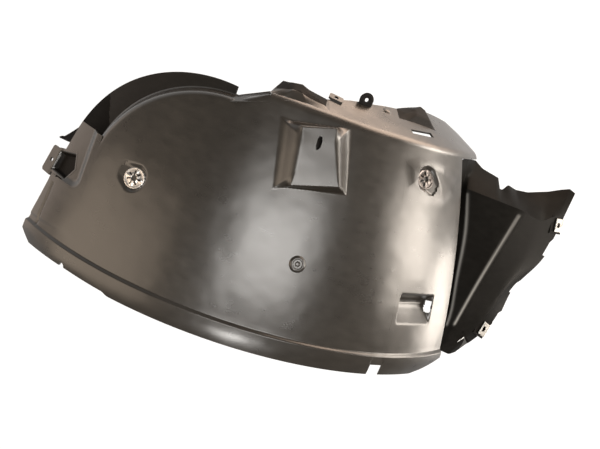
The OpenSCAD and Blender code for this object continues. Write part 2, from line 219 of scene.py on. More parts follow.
def ramp(t, rounding):
    """Rises from 0 to 1 as t does, with both ends rounded."""
    if t <= -rounding:
        return 0.0
    if t < rounding:
        return (t + rounding) ** 2 / (4 * rounding)
    if t <= 1 - rounding:
        return t
    if t < 1 + rounding:
        return 1 - (1 + rounding - t) ** 2 / (4 * rounding)
    return 1.0


def inside_by(outline, x, y):
    """How far a point lies inside a convex outline drawn anticlockwise; negative outside."""
    depth = 1e9
    for (ax, ay), (bx, by) in zip(outline, outline[1:] + outline[:1]):
        length = hypot(bx - ax, by - ay)
        depth = min(depth, ((bx - ax) * (y - ay) - (by - ay) * (x - ax)) / length)
    return depth


# %% [markdown]
# ## Materials
# The sheet is black polypropylene with a polish from the mould: nearly black, glossy but not sharp, with
# long shallow waves, a fine grain and scuffs. The nuts are zinc plated steel. Every material here uses the
# scuffs, so they are a node group that gives one mask, and each material mixes its own two colours by it.
# Darker, duller copies of the plastic and of the zinc are painted shade, and the end panel's copy has a
# painted highlight along its ridges.

# %% Shader groups
def new_group(name, inputs, outputs):
    """A shader node group with named float inputs and named outputs."""
    group = bpy.data.node_groups.new(name, "ShaderNodeTree")
    for label, value in inputs:
        socket = group.interface.new_socket(label, in_out="INPUT", socket_type="NodeSocketFloat")
        socket.default_value = value
    for label, kind in outputs:
        group.interface.new_socket(label, in_out="OUTPUT", socket_type=kind)
    enter = group.nodes.new("NodeGroupInput")
    leave = group.nodes.new("NodeGroupOutput")
    return group, enter, leave


def maths(nodes, operation, second=0.5):
    """A Math node; second is its second value where nothing is linked to it."""
    node = nodes.new("ShaderNodeMath")
    node.operation = operation
    node.inputs[1].default_value = second
    return node


def scuff_group():
    """Fine crossed scratches and cloudy handling marks, as one mask from 0 to 1."""
    inputs, outputs = [("Scale", 1.0), ("Amount", 1.0)], [("Mask", "NodeSocketFloat")]
    group, enter, leave = new_group("scuffs", inputs, outputs)
    nodes, links = group.nodes, group.links
    coords = nodes.new("ShaderNodeTexCoord")
    stretch = nodes.new("ShaderNodeMapping")
    stretch.inputs["Scale"].default_value = (1.0, 2.2, 1.0)
    stretch.inputs["Rotation"].default_value = (0.0, 0.0, 0.6)
    fine = nodes.new("ShaderNodeTexNoise")
    fine.inputs["Detail"].default_value = 6
    cloud = nodes.new("ShaderNodeTexNoise")
    cloud.inputs["Detail"].default_value = 4
    cloud_scale = maths(nodes, "MULTIPLY", 0.18)
    both = maths(nodes, "MULTIPLY")
    steep = nodes.new("ShaderNodeMapRange")
    steep.inputs["From Min"].default_value = 0.12
    steep.inputs["From Max"].default_value = 0.48
    amount = maths(nodes, "MULTIPLY")
    links.new(coords.outputs["Object"], stretch.inputs["Vector"])
    links.new(stretch.outputs["Vector"], fine.inputs["Vector"])
    links.new(coords.outputs["Object"], cloud.inputs["Vector"])
    links.new(enter.outputs["Scale"], fine.inputs["Scale"])
    links.new(enter.outputs["Scale"], cloud_scale.inputs[0])
    links.new(cloud_scale.outputs[0], cloud.inputs["Scale"])
    links.new(fine.outputs["Fac"], both.inputs[0])
    links.new(cloud.outputs["Fac"], both.inputs[1])
    links.new(both.outputs[0], steep.inputs["Value"])
    links.new(steep.outputs["Result"], amount.inputs[0])
    links.new(enter.outputs["Amount"], amount.inputs[1])
    links.new(amount.outputs[0], leave.inputs["Mask"])
    return group


scuffs = scuff_group()
print("scuff group has", len(scuffs.nodes), "nodes")


# %% Helpers for materials
def new_material(name):
    """A material with its node tree's nodes and links."""
    material = bpy.data.materials.new(name)
    material.use_nodes = True
    return material, material.node_tree.nodes, material.node_tree.links


def place_scuffs(nodes, scale, amount):
    """The mask of the scuff group, placed with a material's own values."""
    marks = nodes.new("ShaderNodeGroup")
    marks.node_tree = scuffs
    marks.inputs["Scale"].default_value = scale
    marks.inputs["Amount"].default_value = amount
    return marks.outputs["Mask"]


def mixed_colour(nodes, links, mask, clean, scuffed):
    """The mix of two colours by a mask."""
    colour = nodes.new("ShaderNodeMix")
    colour.data_type = "RGBA"
    colour.inputs[6].default_value = clean
    colour.inputs[7].default_value = scuffed
    links.new(mask, colour.inputs["Factor"])
    return colour.outputs[2]


def mixed_roughness(nodes, links, mask, clean, scuffed):
    """The mix of two roughnesses by a mask."""
    rough = nodes.new("ShaderNodeMapRange")
    rough.inputs["To Min"].default_value = clean
    rough.inputs["To Max"].default_value = scuffed
    links.new(mask, rough.inputs["Value"])
    return rough.outputs["Result"]


# %% Materials
def moulded_plastic():
    """Black plastic with a mould's polish, over long waves and a fine grain."""
    material, nodes, links = new_material("moulded_black_plastic")
    shader = nodes["Principled BSDF"]
    shader.inputs["IOR"].default_value = 1.46
    coords = nodes.new("ShaderNodeTexCoord")
    mask = place_scuffs(nodes, 55, 1.0)
    colour = mixed_colour(nodes, links, mask, (0.0095, 0.0078, 0.006, 1), (0.0155, 0.013, 0.0102, 1))
    waves = nodes.new("ShaderNodeTexNoise")
    waves.inputs["Scale"].default_value = 16
    waves.inputs["Detail"].default_value = 2
    wave_bump = nodes.new("ShaderNodeBump")
    wave_bump.inputs["Strength"].default_value = 0.35
    wave_bump.inputs["Distance"].default_value = 0.004
    grain = nodes.new("ShaderNodeTexNoise")
    grain.inputs["Scale"].default_value = 900
    grain_bump = nodes.new("ShaderNodeBump")
    grain_bump.inputs["Strength"].default_value = 0.1
    grain_bump.inputs["Distance"].default_value = 0.0003
    links.new(colour, shader.inputs["Base Color"])
    links.new(mixed_roughness(nodes, links, mask, 0.27, 0.33), shader.inputs["Roughness"])
    links.new(coords.outputs["Object"], waves.inputs["Vector"])
    links.new(coords.outputs["Object"], grain.inputs["Vector"])
    links.new(waves.outputs["Fac"], wave_bump.inputs["Height"])
    links.new(grain.outputs["Fac"], grain_bump.inputs["Height"])
    links.new(wave_bump.outputs["Normal"], grain_bump.inputs["Normal"])
    links.new(grain_bump.outputs["Normal"], shader.inputs["Normal"])
    return material


def shaded_end_panel_plastic():
    """A darker copy of the black plastic that paints shade on the end panel, with a painted highlight along
    its ridges set by the stored ridge value.
    """
    material, nodes, links = new_material("shaded_end_panel_black")
    shader = nodes["Principled BSDF"]
    shader.inputs["Specular IOR Level"].default_value = 0.008
    shader.inputs["Roughness"].default_value = 0.36
    mask = place_scuffs(nodes, 70, 0.6)
    ridge = nodes.new("ShaderNodeAttribute")
    ridge.attribute_name = "ridge"
    # Painted highlight: the colour turns light grey where the stored ridge value is high.
    ridge_highlight_mix = nodes.new("ShaderNodeMix")
    ridge_highlight_mix.data_type = "RGBA"
    ridge_highlight_mix.inputs[7].default_value = (0.34, 0.33, 0.31, 1)
    links.new(ridge.outputs["Fac"], ridge_highlight_mix.inputs["Factor"])
    links.new(mixed_colour(nodes, links, mask, (0.0035, 0.0032, 0.0028, 1), (0.0075, 0.007, 0.0062, 1)),
              ridge_highlight_mix.inputs[6])
    links.new(ridge_highlight_mix.outputs[2], shader.inputs["Base Color"])
    return material


def zinc_plate(name, light, dark):
    """Zinc plated steel, duller and rougher where it is scuffed."""
    material, nodes, links = new_material(name)
    shader = nodes["Principled BSDF"]
    shader.inputs["Metallic"].default_value = 1.0
    mask = place_scuffs(nodes, 400, 1.0)
    links.new(mixed_colour(nodes, links, mask, light, dark), shader.inputs["Base Color"])
    links.new(mixed_roughness(nodes, links, mask, 0.3, 0.5), shader.inputs["Roughness"])
    return material


def shaded_plastic(name, dark, light):
    """The same plastic made darker and duller as painted shade, with scuffs mixing its two colours."""
    material, nodes, links = new_material(name)
    shader = nodes["Principled BSDF"]
    shader.inputs["Specular IOR Level"].default_value = 0.06
    shader.inputs["Roughness"].default_value = 0.6
    mask = place_scuffs(nodes, 90, 0.5)
    links.new(mixed_colour(nodes, links, mask, dark, light), shader.inputs["Base Color"])
    return material


plastic = moulded_plastic()
# Painted shade: this black goes on the blister's top, the box, the lug, the ear's recess and the cuts in the
# nuts.
shadow_black = shaded_plastic("painted_shade_black_plastic", (0.0025, 0.002, 0.0016, 1), (0.008, 0.007, 0.006, 1))
# Painted shade: a duller, darker copy of the plastic for the seal flange.
shaded_ribbon_black = shaded_plastic("shaded_ribbon_plastic", (0.008, 0.0072, 0.0065, 1), (0.015, 0.0135, 0.012, 1))
shaded_panel_black = shaded_end_panel_plastic()
zinc = zinc_plate("zinc_plated_steel", (0.46, 0.44, 0.42, 1), (0.17, 0.16, 0.15, 1))
# Painted shade: a darker copy of the zinc for the front nut, which lies in shade.
shaded_zinc = zinc_plate("shaded_zinc_plate", (0.11, 0.1, 0.095, 1), (0.035, 0.03, 0.028, 1))
clip_zinc = zinc_plate("clip_zinc_plate", (0.2, 0.195, 0.185, 1), (0.09, 0.086, 0.08, 1))
print("materials:", [material.name for material in bpy.data.materials])

# %% [markdown]
# ## The bowed sheet
# One grid runs from the rim to the inner edge of the side wall. Its rows are close together at the rim's
# step and round the shoulder, and further apart where the surface is nearly straight. The outline is cut by
# asking each point whether the sheet is there, which leaves room for the pieces that are set into it.

# %% Outline of the sheet, seen from over the arch
corner_c, corner_r, corner_drop = (-75.0, 104.0), 140.0, 26.0
corner_run = (32.0, 18.0)
platform_edge, platform_y, platform_h = -216.0, (86.0, 150.0), 5.0
side_edge = [(-43, 262), (16, 246), (48, 226), (78, 210), (110, 188), (140, 152), (189, 112), (225, 112),
             (262, 126)]
side_reach_limits = (2.0, 74.0)
side_first_angle, side_reach_elsewhere = -9.2, 20.0


def on_sheet(x, y, trim):
    """True where the sheet is, apart from the platform; trim takes that much off the rounded corner."""
    if y < platform_y[0] or x > corner_c[0] + corner_run[0]:
        return True
    if x > platform_edge + trim and y < corner_c[1]:
        return True
    if hypot(x - corner_c[0], y - corner_c[1]) < corner_r - trim:
        return True
    run_edge = corner_c[1] + corner_r - trim + (x - corner_c[0]) * corner_run[1] / corner_run[0]
    return x > corner_c[0] and y < run_edge


def side_reach(angle):
    """Length of the side wall, from the shoulder to its inner edge, at an angle round the wheel."""
    a = radians(max(angle, side_first_angle))
    for (ax, az), (bx, bz) in zip(side_edge, side_edge[1:]):
        cross_a = ax * cos(a) - az * sin(a)
        cross_b = bx * cos(a) - bz * sin(a)
        if cross_a <= 0 <= cross_b or (cross_b - cross_a > 0 and (bx, bz) == side_edge[-1]):
            share = cross_a / (cross_a - cross_b)
            r = hypot(ax + (bx - ax) * share, az + (bz - az) * share)
            shortest, longest = side_reach_limits
            return min(longest, max(shortest, (side_start[0] - r) / cos(radians(side_slope))))
    return side_reach_elsewhere


# %% Recessed seats, pocket and notches
seats = {"tail": (-29.0, 127.0, (0, 9, 0)), "front": (34.8, 226.0, (-6, -9, 0))}
seat_r, seat_depth = 16.5, 4.0
pocket_at, pocket_l = (37.5, 77.0), 62.0
side_rows = 24
slot_angles, slot_rows = (31.2, 39.6), (5.5, 7.5)


def barrel_frame(angle, y):
    """Axes on the barrel: X round the wheel, Y towards the shoulder, Z square to the surface."""
    turn = Matrix.Rotation(radians(angle), 4, "Y") @ Matrix.Rotation(radians(-cone_tilt), 4, "X")
    return Matrix.Translation(turned(angle, barrel_r(y), y)) @ turn


def leaned(lean):
    """The turn that a lean makes, given in degrees about X, then Y, then Z."""
    about_x, about_y, about_z = (Matrix.Rotation(radians(a), 4, axis) for a, axis in zip(lean, "XYZ"))
    return about_z @ about_y @ about_x


pocket_axes = barrel_frame(*pocket_at)
pocket_back = pocket_axes.inverted()
seat_backs = [barrel_frame(angle, y).inverted() for angle, y, lean in seats.values()]
corner_trim, opening_margin, pocket_opening = 4.0, 3.0, (-17.0, 23.0)
plateau_h, plateau_run = 1.8, 11.0
plateau_outline = [(-36, 14), (-28, -12), (0, -25), (36, -28), (56, -12), (58, 8), (30, 20), (-16, 20)]


def plateau_lift(x, y):
    """Height of the plateau over the barrel, at a place seen square to the front seat."""
    return plateau_h * ramp(inside_by(plateau_outline, x, y) / plateau_run, 0.48)


def keep_barrel(p):
    """True where the bowed sheet has a face; the corner, pocket and seats are set into the room it leaves."""
    if not on_sheet(p.x, p.y, corner_trim):
        return False
    angle = degrees(atan2(p.x, p.z))
    if angle > arc_front + 0.01 and p.y < bow_end - 1:
        return False
    if slot_angles[0] < angle < slot_angles[1] and p.y > side_start[1] + 2:
        row = (p.y - side_start[1]) / sin(radians(side_slope)) * side_rows / side_reach(angle)
        if slot_rows[0] < row < slot_rows[1]:
            return False
    q = pocket_back @ p
    if abs(q.x) < pocket_l / 2 + opening_margin and pocket_opening[0] < q.y < pocket_opening[1]:
        return False
    return all(hypot(q.x, q.y) >= seat_r + opening_margin for q in [back @ p for back in seat_backs])


# %% The rim's edge, with its notches and trimmed ends
rim_outline = [(-50, 14), (-46, 2), (-34, 3.5), (-25, 2.5), (-24, 0), (40, 0), (43.5, 5), (50, 16), (62, 16)]
notch_angle, notch_w, notch_depth = 29.4, 17.0, 13.0
round_notch_angle, round_notch_r, round_notch_y = -35.3, 3.5, 4.0


def rim_edge(angle):
    """Where the rim's edge lies along the wheel axis, at an angle round the wheel."""
    if abs(radians(angle - notch_angle)) * rim_r < notch_w / 2:
        return notch_depth
    across = abs(radians(angle - round_notch_angle)) * rim_r
    if across < round_notch_r:
        return round_notch_y + sqrt(round_notch_r ** 2 - across ** 2)
    for (a, ya), (b, yb) in zip(rim_outline, rim_outline[1:]):
        if a <= angle <= b:
            return ya + (yb - ya) * (angle - a) / (b - a)
    return 0.0


# %% Rows and columns of the bowed sheet
rim_rows = 10
column_step = 0.45
groove_columns = (-48.2, -45.0)
round_notch_columns = (-36.0, -34.6)
section = [(rim_r - flange_step * ramp(t, 0.35), flange_w + 1.4 + 2.4 * t) for t in spaced(-0.35, 1.35, 0.17)]
section += [(barrel_r(y), y) for y in spaced(section[-1][1], bow_end, 2.6)[1:]]
section += [(round_centre[0] + shoulder_round * cos(a), round_centre[1] + shoulder_round * sin(a))
            for a in [radians(v) for v in spaced(bow_tilt, bow_tilt + 2 * half_turn, 6.5)[1:]]]
notch_half = degrees(notch_w / 2 / rim_r)
notch_start, notch_end = notch_angle - notch_half, notch_angle + notch_half
hair = 0.004
angles = spaced(-arc_tail, groove_columns[0], 0.3)
angles += spaced(groove_columns[0], groove_columns[1], 0.12)[1:]
angles += spaced(groove_columns[1], round_notch_columns[0], column_step)[1:]
angles += spaced(round_notch_columns[0], round_notch_columns[1], 0.07)[1:]
angles += spaced(round_notch_columns[1], notch_start - hair, column_step)[1:]
angles += spaced(notch_start + hair, notch_end - hair, column_step)
angles += spaced(notch_end + hair, arc_front, column_step)
angles += spaced(arc_front, side_angle, column_step)[1:]
print("bowed sheet has", len(angles), "columns and", rim_rows + len(section) + side_rows, "rows")

# %% Bead on the rim, and what is pressed in near the tail edge
bead_h = 0.9
groove_angle, groove_skew, groove_depth, groove_half = -45.5, 0.027, 1.6, 0.3
tail_fall = 0.02
crease_angle, crease_y, crease_skew, crease_h = -34.0, 33.0, 0.5, 1.3


def rim_bead(y):
    """Height of the low bead along the rim flange."""
    half = flange_w / 2
    return bead_h * max(0.0, 1 - ((y - half) / half) ** 2)


def tail_crease(angle, y):
    """Height of the crease that runs in from the tail end of the rim."""
    if angle >= crease_angle + 1:
        return 0.0
    across = y - crease_y - crease_skew * (angle + 46)
    fold = ramp(across / 2 + 0.5, 0.45) - ramp(across / 22, 0.45)
    return crease_h * ramp((crease_angle - angle) / 10, 0.4) * fold


def tail_groove(angle, y):
    """Depth of the groove beside the tail edge, and of the strip that falls away beyond it."""
    beside = angle - groove_angle + groove_skew * y
    groove = groove_depth * exp(-(beside / groove_half) ** 2)
    fall = tail_fall * radians(min(0.0, beside)) * rim_r
    return (groove - fall) * ramp((y - 24) / 6, 0.3)


# %% The bowed sheet itself
def sheet_point(i, j):
    """A point of the bowed sheet: rim flange first, then the section, then the side wall."""
    angle = angles[i]
    if j < rim_rows:
        edge = rim_edge(angle)
        y = edge + (section[0][1] - edge) * j / rim_rows
        return turned(angle, rim_r + rim_bead(y), y)
    j -= rim_rows
    if j < len(section):
        r, y = section[j]
        q = seat_backs[1] @ turned(angle, r, y)
        rise = plateau_lift(q.x, q.y) if q.z > -12 else 0.0
        return turned(angle, r + rise + tail_crease(angle, y) - tail_groove(angle, y), y)
    reach = side_reach(angle) * (j - len(section) + 1) / side_rows
    return turned(angle, *down_side(*side_start, reach))


skin_rows = rim_rows + len(section) + side_rows
skin = sheet_piece("bowed_sheet", len(angles), skin_rows, sheet_point, plastic, keep_barrel)
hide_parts("liner")

# %% Strip where the shoulder runs out over the rounded corner
strip_start, strip_turn, strip_across, strip_down, strip_reach = -17.0, 12.4, 20, 5, 11.0


def strip_end_point(i, j):
    """A point on the end of the shoulder, which lies a little over the sheet and then dips under it."""
    angle = strip_start + strip_turn * i / strip_across
    y = 241.4 + 12.3 * (angle + 16.3) / 6.9
    lift = 0.3 if angle < -8.6 else -0.7
    return turned(angle, *down_side(barrel_r(y) + lift, y, strip_reach * j / strip_down))


shoulder_strip = sheet_piece("shoulder_strip", strip_across + 1, strip_down + 1, strip_end_point, plastic)
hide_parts("liner")

# %% [markdown]
# ## Patches on the barrel
# Raised and sunk features are grids of their own, about a millimetre fine. Each one starts from the
# barrel's own surface, a hair above it, so its border disappears into the sheet, and a height function
# shapes the middle. A boolean would leave long thin faces there, and the gloss would show them.

# %% Patch helper
seam_lift = 0.06
patch_step = 0.8


def surface_height(axes, x, y):
    """Height of the barrel over the tangent plane of a set of axes, at x and y in that plane."""
    z = 0.0
    for _ in range(4):
        p = axes @ Vector((x, y, z))
        z -= (hypot(p.x, p.z) - barrel_r(p.y)) * 0.95
    return z


def patch(name, axes, xs, ys, height, keep=None):
    """A fine grid over xs by ys on the barrel; height(x, y, base) gives each point's height."""
    def place(i, j):
        x, y = xs[i], ys[j]
        return axes @ Vector((x, y, height(x, y, surface_height(axes, x, y) + seam_lift)))
    back = axes.inverted()
    test = None if keep is None else (lambda p: keep(back @ p))
    piece = sheet_piece(name, len(xs), len(ys), place, plastic, test)
    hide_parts("liner")
    return piece


# %% Raised pad
pad_axes = barrel_frame(5, 215)
pad_h = 15.0
pad_foot = [(-44, 29), (-33, -42), (43, -27), (27, 42)]
pad_face = [(-28, 27), (-21, -38), (33, -24), (11, 37)]
slit_at, slit_w, slit_l = (-4, 15), 5.0, 14.5


def pad_height(x, y, base):
    """Rises from the foot to the flat face of the pad."""
    rise = inside_by(pad_foot, x, y)
    fall = -inside_by(pad_face, x, y)
    t = rise / max(rise + fall, 1.0)
    return base + (pad_h - base) * ramp(t, 0.36)


def off_slit(q):
    """False in the pad's oval slit."""
    return hypot((q.x - slit_at[0]) * 2 / slit_w, (q.y - slit_at[1]) * 2 / slit_l) > 1


patch("raised_pad", pad_axes, spaced(-50, 51, patch_step), spaced(-48, 43, patch_step), pad_height, off_slit)

# %% Wedge pocket
pocket_section = [(-60, 0.0), (-15.5, 0.0), (3.0, -9.0), (8.0, -12.0), (13.0, -11.0), (19.8, 0.0), (60, 0.0)]
pocket_softening = (-1.5, -0.75, 0, 0.75, 1.5)
drain_at, drain_w, drain_h = (5.0, -6.0), 14.0, 8.0


def pocket_floor(y):
    """Height of the pocket's floor under the barrel, along its section."""
    for (ya, za), (yb, zb) in zip(pocket_section, pocket_section[1:]):
        if ya <= y <= yb:
            return za + (zb - za) * (y - ya) / (yb - ya)
    return 0.0


def pocket_height(x, y, base):
    """The floor with its corners softened, between two steep ends."""
    floor = sum(pocket_floor(y + shift) for shift in pocket_softening) / len(pocket_softening)
    ends = ramp((pocket_l / 2 - abs(x)) / 3.0, 0.3)
    return base + floor * ends


def off_drain(q):
    """False in the oval drain hole of the end wall."""
    across, up = (q.y - drain_at[0]) / (drain_w / 2), (q.z - drain_at[1]) / (drain_h / 2)
    return q.x < pocket_l / 2 - 5 or hypot(across, up) > 1


pocket_xs = spaced(-pocket_l / 2 - 7, pocket_l / 2 + 7, patch_step)
patch("wedge_pocket", pocket_axes, pocket_xs, spaced(-24, 29, patch_step), pocket_height, off_drain)

# %% Seats of the washer nuts
def seat_patch(name, angle, along_axis, lean, run, lift=None):
    """A sunk flat seat, leaning as its nut does, that runs out to a narrow end at run."""
    normal = leaned(lean) @ Vector((0, 0, 1))

    def height(x, y, base):
        base += lift(x, y) if lift else 0.0
        floor = -(normal.x * x + normal.y * y) / normal.z - seat_depth / normal.z
        share = max(0.0, min(1.0, (x * run[0] + y * run[1]) / (run[0] ** 2 + run[1] ** 2)))
        out = hypot(x - run[0] * share, y - run[1] * share) - (seat_r - 2.5) * (1 - 0.5 * share)
        return base + min(0.0, floor - base) * ramp(-out / 4.0 + 0.5, 0.4)

    xs, ys = spaced(-36, 30, patch_step), spaced(-28, 28, patch_step)
    return patch(name, barrel_frame(angle, along_axis), xs, ys, height)


seat_patch("tail_seat", *seats["tail"], (-24, 4))
seat_patch("front_seat", *seats["front"], (20, -14), plateau_lift)

# %% [markdown]
# ## On the side wall
# A blister, a clip ring, a lug with a hole and a box stand on the side wall, with the box, the lug and the
# blister's top painted dark as shade. They are height fields and plates like the ones on the barrel, placed
# square to the wall.

# %% Frames and height fields on the side wall
def side_frame(angle, reach):
    """Axes on the side wall: X round the wheel, Y towards the wall's inner edge, Z square to it."""
    r, y = down_side(*side_start, reach)
    tilt = Matrix.Rotation(radians(side_slope - 90), 4, "X")
    return Matrix.Rotation(radians(angle), 4, "Y") @ Matrix.Translation((0, y, r)) @ tilt


def side_height(axes, x, y):
    """Height of the side wall over the plane of a set of axes, at x and y in that plane."""
    z = 0.0
    for _ in range(4):
        p = axes @ Vector((x, y, z))
        cone_r = side_start[0] - (p.y - side_start[1]) / tan(radians(side_slope))
        z -= (hypot(p.x, p.z) - cone_r) * sin(radians(side_slope))
    return z


stand_rounding, stand_sunk = 0.25, 0.4


def stand(name, axes, foot, face, tall, material, step=patch_step):
    """A hollow bump with straight flanks, from a foot up to a smaller face, both drawn anticlockwise."""
    xs = spaced(min(x for x, y in foot), max(x for x, y in foot), step)
    ys = spaced(min(y for x, y in foot), max(y for x, y in foot), step)

    def place(i, j):
        x, y = xs[i], ys[j]
        rise, fall = inside_by(foot, x, y), -inside_by(face, x, y)
        base = side_height(axes, x, y) - stand_sunk
        if rise < 0:
            return axes @ Vector((x, y, base - 0.6))
        up = ramp(rise / max(rise + fall, 1.0), stand_rounding)
        return axes @ Vector((x, y, base + (tall + stand_sunk) * up))

    back = axes.inverted()

    def near_foot(p):
        q = back @ p
        return inside_by(foot, q.x, q.y) > -step

    piece = sheet_piece(name, len(xs), len(ys), place, material, near_foot)
    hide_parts("liner")
    return piece


def ring_plate(name, axes, outer, hole, material, thickness, around, rows, crown=0.0):
    """A plate between a round hole and an outline given as outer(angle) -> (x, y)."""
    def place(i, j):
        a = -2 * pi * i / around
        ox, oy = outer(a)
        hx, hy = hole * cos(a), hole * sin(a)
        s = j / rows
        return axes @ Vector((hx + (ox - hx) * s, hy + (oy - hy) * s, crown * sin(pi * s)))
    return sheet_piece(name, around + 1, rows + 1, place, material, None, thickness)


def round_rect(half_x, half_y, corner):
    """outer(angle) for a rectangle with rounded corners."""
    def outer(a):
        n = 2 + 10 * (1 - corner)
        k = (abs(cos(a) / half_x) ** n + abs(sin(a) / half_y) ** n) ** (-1 / n)
        return k * cos(a), k * sin(a)
    return outer


# %% Blister, with the side that faces away from the light left dark
blister_axes = side_frame(-2.2, 21)
blister_back = blister_axes.inverted()
blister = stand("side_blister", blister_axes, [(-34, -22), (36, -18), (31, 5), (-4, 13), (-24, 11)],
                [(-12, -13), (0, -10), (4, 2), (-2, 7), (-12, 4)], 6.0, plastic)
darken(blister, shadow_black, lambda p: (blister_back @ p).y > -10.5 and (blister_back @ p).x < 30)

# %% Box and the small bump beside the lug
# The box is painted with the shade black all over.
stand("side_box", side_frame(37.6, 47), [(-38, -10), (26, -17), (30, 20), (20, 24), (-30, 9)],
      [(-8, -4), (15, -8), (21, 12), (16, 17), (-4, 6)], 6.6, shadow_black)
stand("side_bump", side_frame(24.4, 42), [(-7, -3), (-3, -6), (4, -6), (8, -2), (7, 3), (2, 6), (-4, 5)],
      [(-3, -1), (0, -2.5), (3, -2), (4, 0), (2, 2), (-1, 2)], 1.6, plastic, 0.6)

# %% Clip ring and lug
ring_axes = side_frame(7.2, 31) @ Matrix.Translation((0, 0, 2.4)) @ leaned((0, 0, -12))
clip_ring = ring_plate("clip_ring", ring_axes, round_rect(8.5, 5.0, 0.4), 2.6, plastic, 2.6, 40, 4)
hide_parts("liner")
lug_axes = side_frame(16.5, 40) @ leaned((90 - side_slope, 0, 0)) @ Matrix.Translation((0, 6, 1.0))
lug_half_w, lug_top, lug_foot = 8.8, 8.5, 15.0


def lug_outline(a):
    """Half an oval over the hole, and a longer one under it."""
    return lug_half_w * cos(a), (lug_top if sin(a) > 0 else lug_foot) * sin(a)


# The lug is painted with the shade black.
lug = ring_plate("side_lug", lug_axes, lug_outline, 2.3, shadow_black, 5.0, 48, 6, 0.8)
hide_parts("liner")

# %% [markdown]
# ## Rounded corner and seal flange
# Above the tail the sheet rolls over a rounded corner, drops about 26 mm, and turns out again into a narrow
# flange that carries a seal. One grid sweeps that section along the corner, and a second one fills the
# flange between its inner and outer edge, so that its width can change along the way.

# %% Rounded corner with its wall
def dropped(x, y, drop):
    """The point on the barrel, or a drop under it, that lies under a place seen from over the arch."""
    r = barrel_r(y) - drop
    return Vector((x, y, sqrt(max(1.0, r * r - x * x))))


corner_section = [(-9, 0), (-7, 0), (-5, 0), (-3.5, 0.15), (-2.3, 0.7), (-1.2, 1.7), (-0.5, 3.0), (-0.2, 5)]
corner_section += [(-0.2 + 0.1 * k, 5 + 3.0 * k) for k in range(1, 7)]
corner_section += [(0.6, corner_drop - 1.5), (1.2, corner_drop - 0.4), (2.4, corner_drop)]
run_turn = degrees(atan2(corner_run[1], corner_run[0]))
corner_path = [(corner_c[0] + corner_run[0] * t, corner_c[1] + corner_r + corner_run[1] * t,
                90 + run_turn * min(1.0, 3 * t), 1 - 0.75 * t) for t in spaced(1, 0, 0.04)]
corner_path += [(corner_c[0] + corner_r * cos(radians(a)), corner_c[1] + corner_r * sin(radians(a)), a, 1.0)
                for a in spaced(90, 186, 1.0)[1:]]


def corner_point(i, j):
    """A point of the corner: the section, set out square to the path and dropped by its share."""
    x, y, facing, share = corner_path[len(corner_path) - 1 - i]
    out, drop = corner_section[j]
    x += out * cos(radians(facing))
    y += out * sin(radians(facing))
    return dropped(x, y, drop * share - (seam_lift if drop == 0 else 0))


corner = sheet_piece("rounded_corner", len(corner_path), len(corner_section), corner_point, plastic)
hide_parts("liner")

# %% Seal flange
def along_path(path, t):
    """A point at a share of a path's length."""
    lengths = [hypot(b[0] - a[0], b[1] - a[1]) for a, b in zip(path, path[1:])]
    left = t * sum(lengths)
    for (a, b), length in zip(zip(path, path[1:]), lengths):
        if left <= length or (a, b) == (path[-2], path[-1]):
            share = min(1.0, left / length)
            return (a[0] + (b[0] - a[0]) * share, a[1] + (b[1] - a[1]) * share)
        left -= length


def arc_path(centre, r, first, last):
    """Points on an arc, two degrees apart."""
    turns = [radians(a) for a in spaced(first, last, 2)]
    return [(centre[0] + r * cos(a), centre[1] + r * sin(a)) for a in turns]


seal_c, seal_r = (corner_c[0] - 15, corner_c[1] - 12), corner_r + 23
seal_tip, seal_lip = (-270, 106), 1.2
seal_inner = [seal_tip, (-246, 114), (-230, 124), (-214, 142)] + arc_path(corner_c, corner_r - 1, 163, 91.5)
seal_outer = [seal_tip, (-258, 120)] + arc_path(seal_c, seal_r, 165.5, 86)
seal_along, seal_across = 160, 10


def seal_point(i, j):
    """A point between the flange's inner and outer edge, which rises a little towards the outer one."""
    t, s = i / seal_along, j / seal_across
    (ax, ay), (bx, by) = along_path(seal_inner, t), along_path(seal_outer, t)
    return dropped(ax + (bx - ax) * s, ay + (by - ay) * s, corner_drop - seal_lip * s * s)


seal = sheet_piece("seal_flange", seal_along + 1, seal_across + 1, seal_point, shaded_ribbon_black)
# Painted shade: the flange's left end takes the still darker end panel black.
darken(seal, shaded_panel_black, lambda p: p.x + 0.45 * p.y < -138)
store_ridge_highlight(seal, [])
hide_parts("liner")

# %% [markdown]
# ## Ear and platform at the tail
# A flat ear with a hole sticks out past the tail edge, with a recess behind it, and a platform a few
# millimetres lower runs from it towards the corner. Both are grids again: the ear is flat where it stands
# alone and takes the barrel's bow over the next few millimetres.

# %% Ear with its recess and hole
ear_axes = barrel_frame(-52, 95) @ Matrix.Translation((0, 0, -(platform_h - 1))) @ leaned((3, 6, 0))
ear_back = ear_axes.inverted()
ear_recess = [(2, -9), (34, -9), (42, 8), (31, 23), (1, 15)]
ear_recess_depth = 7.0
ear_hole_x, ear_hole_r, ear_half_w = -6.0, 2.3, 17.2
ear_xs, ear_ys = spaced(-15, 46, 0.7), spaced(-17, 27, 0.7)


def ear_height(x, y):
    """Flat outside the tail edge, then along the platform, with the recess sunk in it."""
    z = 0.0
    for _ in range(3):
        p = ear_axes @ Vector((x, y, z))
        z -= hypot(p.x, p.z) - barrel_r(p.y) + platform_h
    share = max(0.0, min(1.0, x / 6))
    return share * z + 0.2 - ear_recess_depth * ramp(inside_by(ear_recess, x, y) / 3.0, 0.4)


def ear_point(i, j):
    """A point of the ear, whose two outer corners are cut off."""
    x, y = ear_xs[i], ear_ys[j]
    return ear_axes @ Vector((max(x, ear_xs[0] + max(0.0, abs(y) - 14.5)), y, ear_height(x, y)))


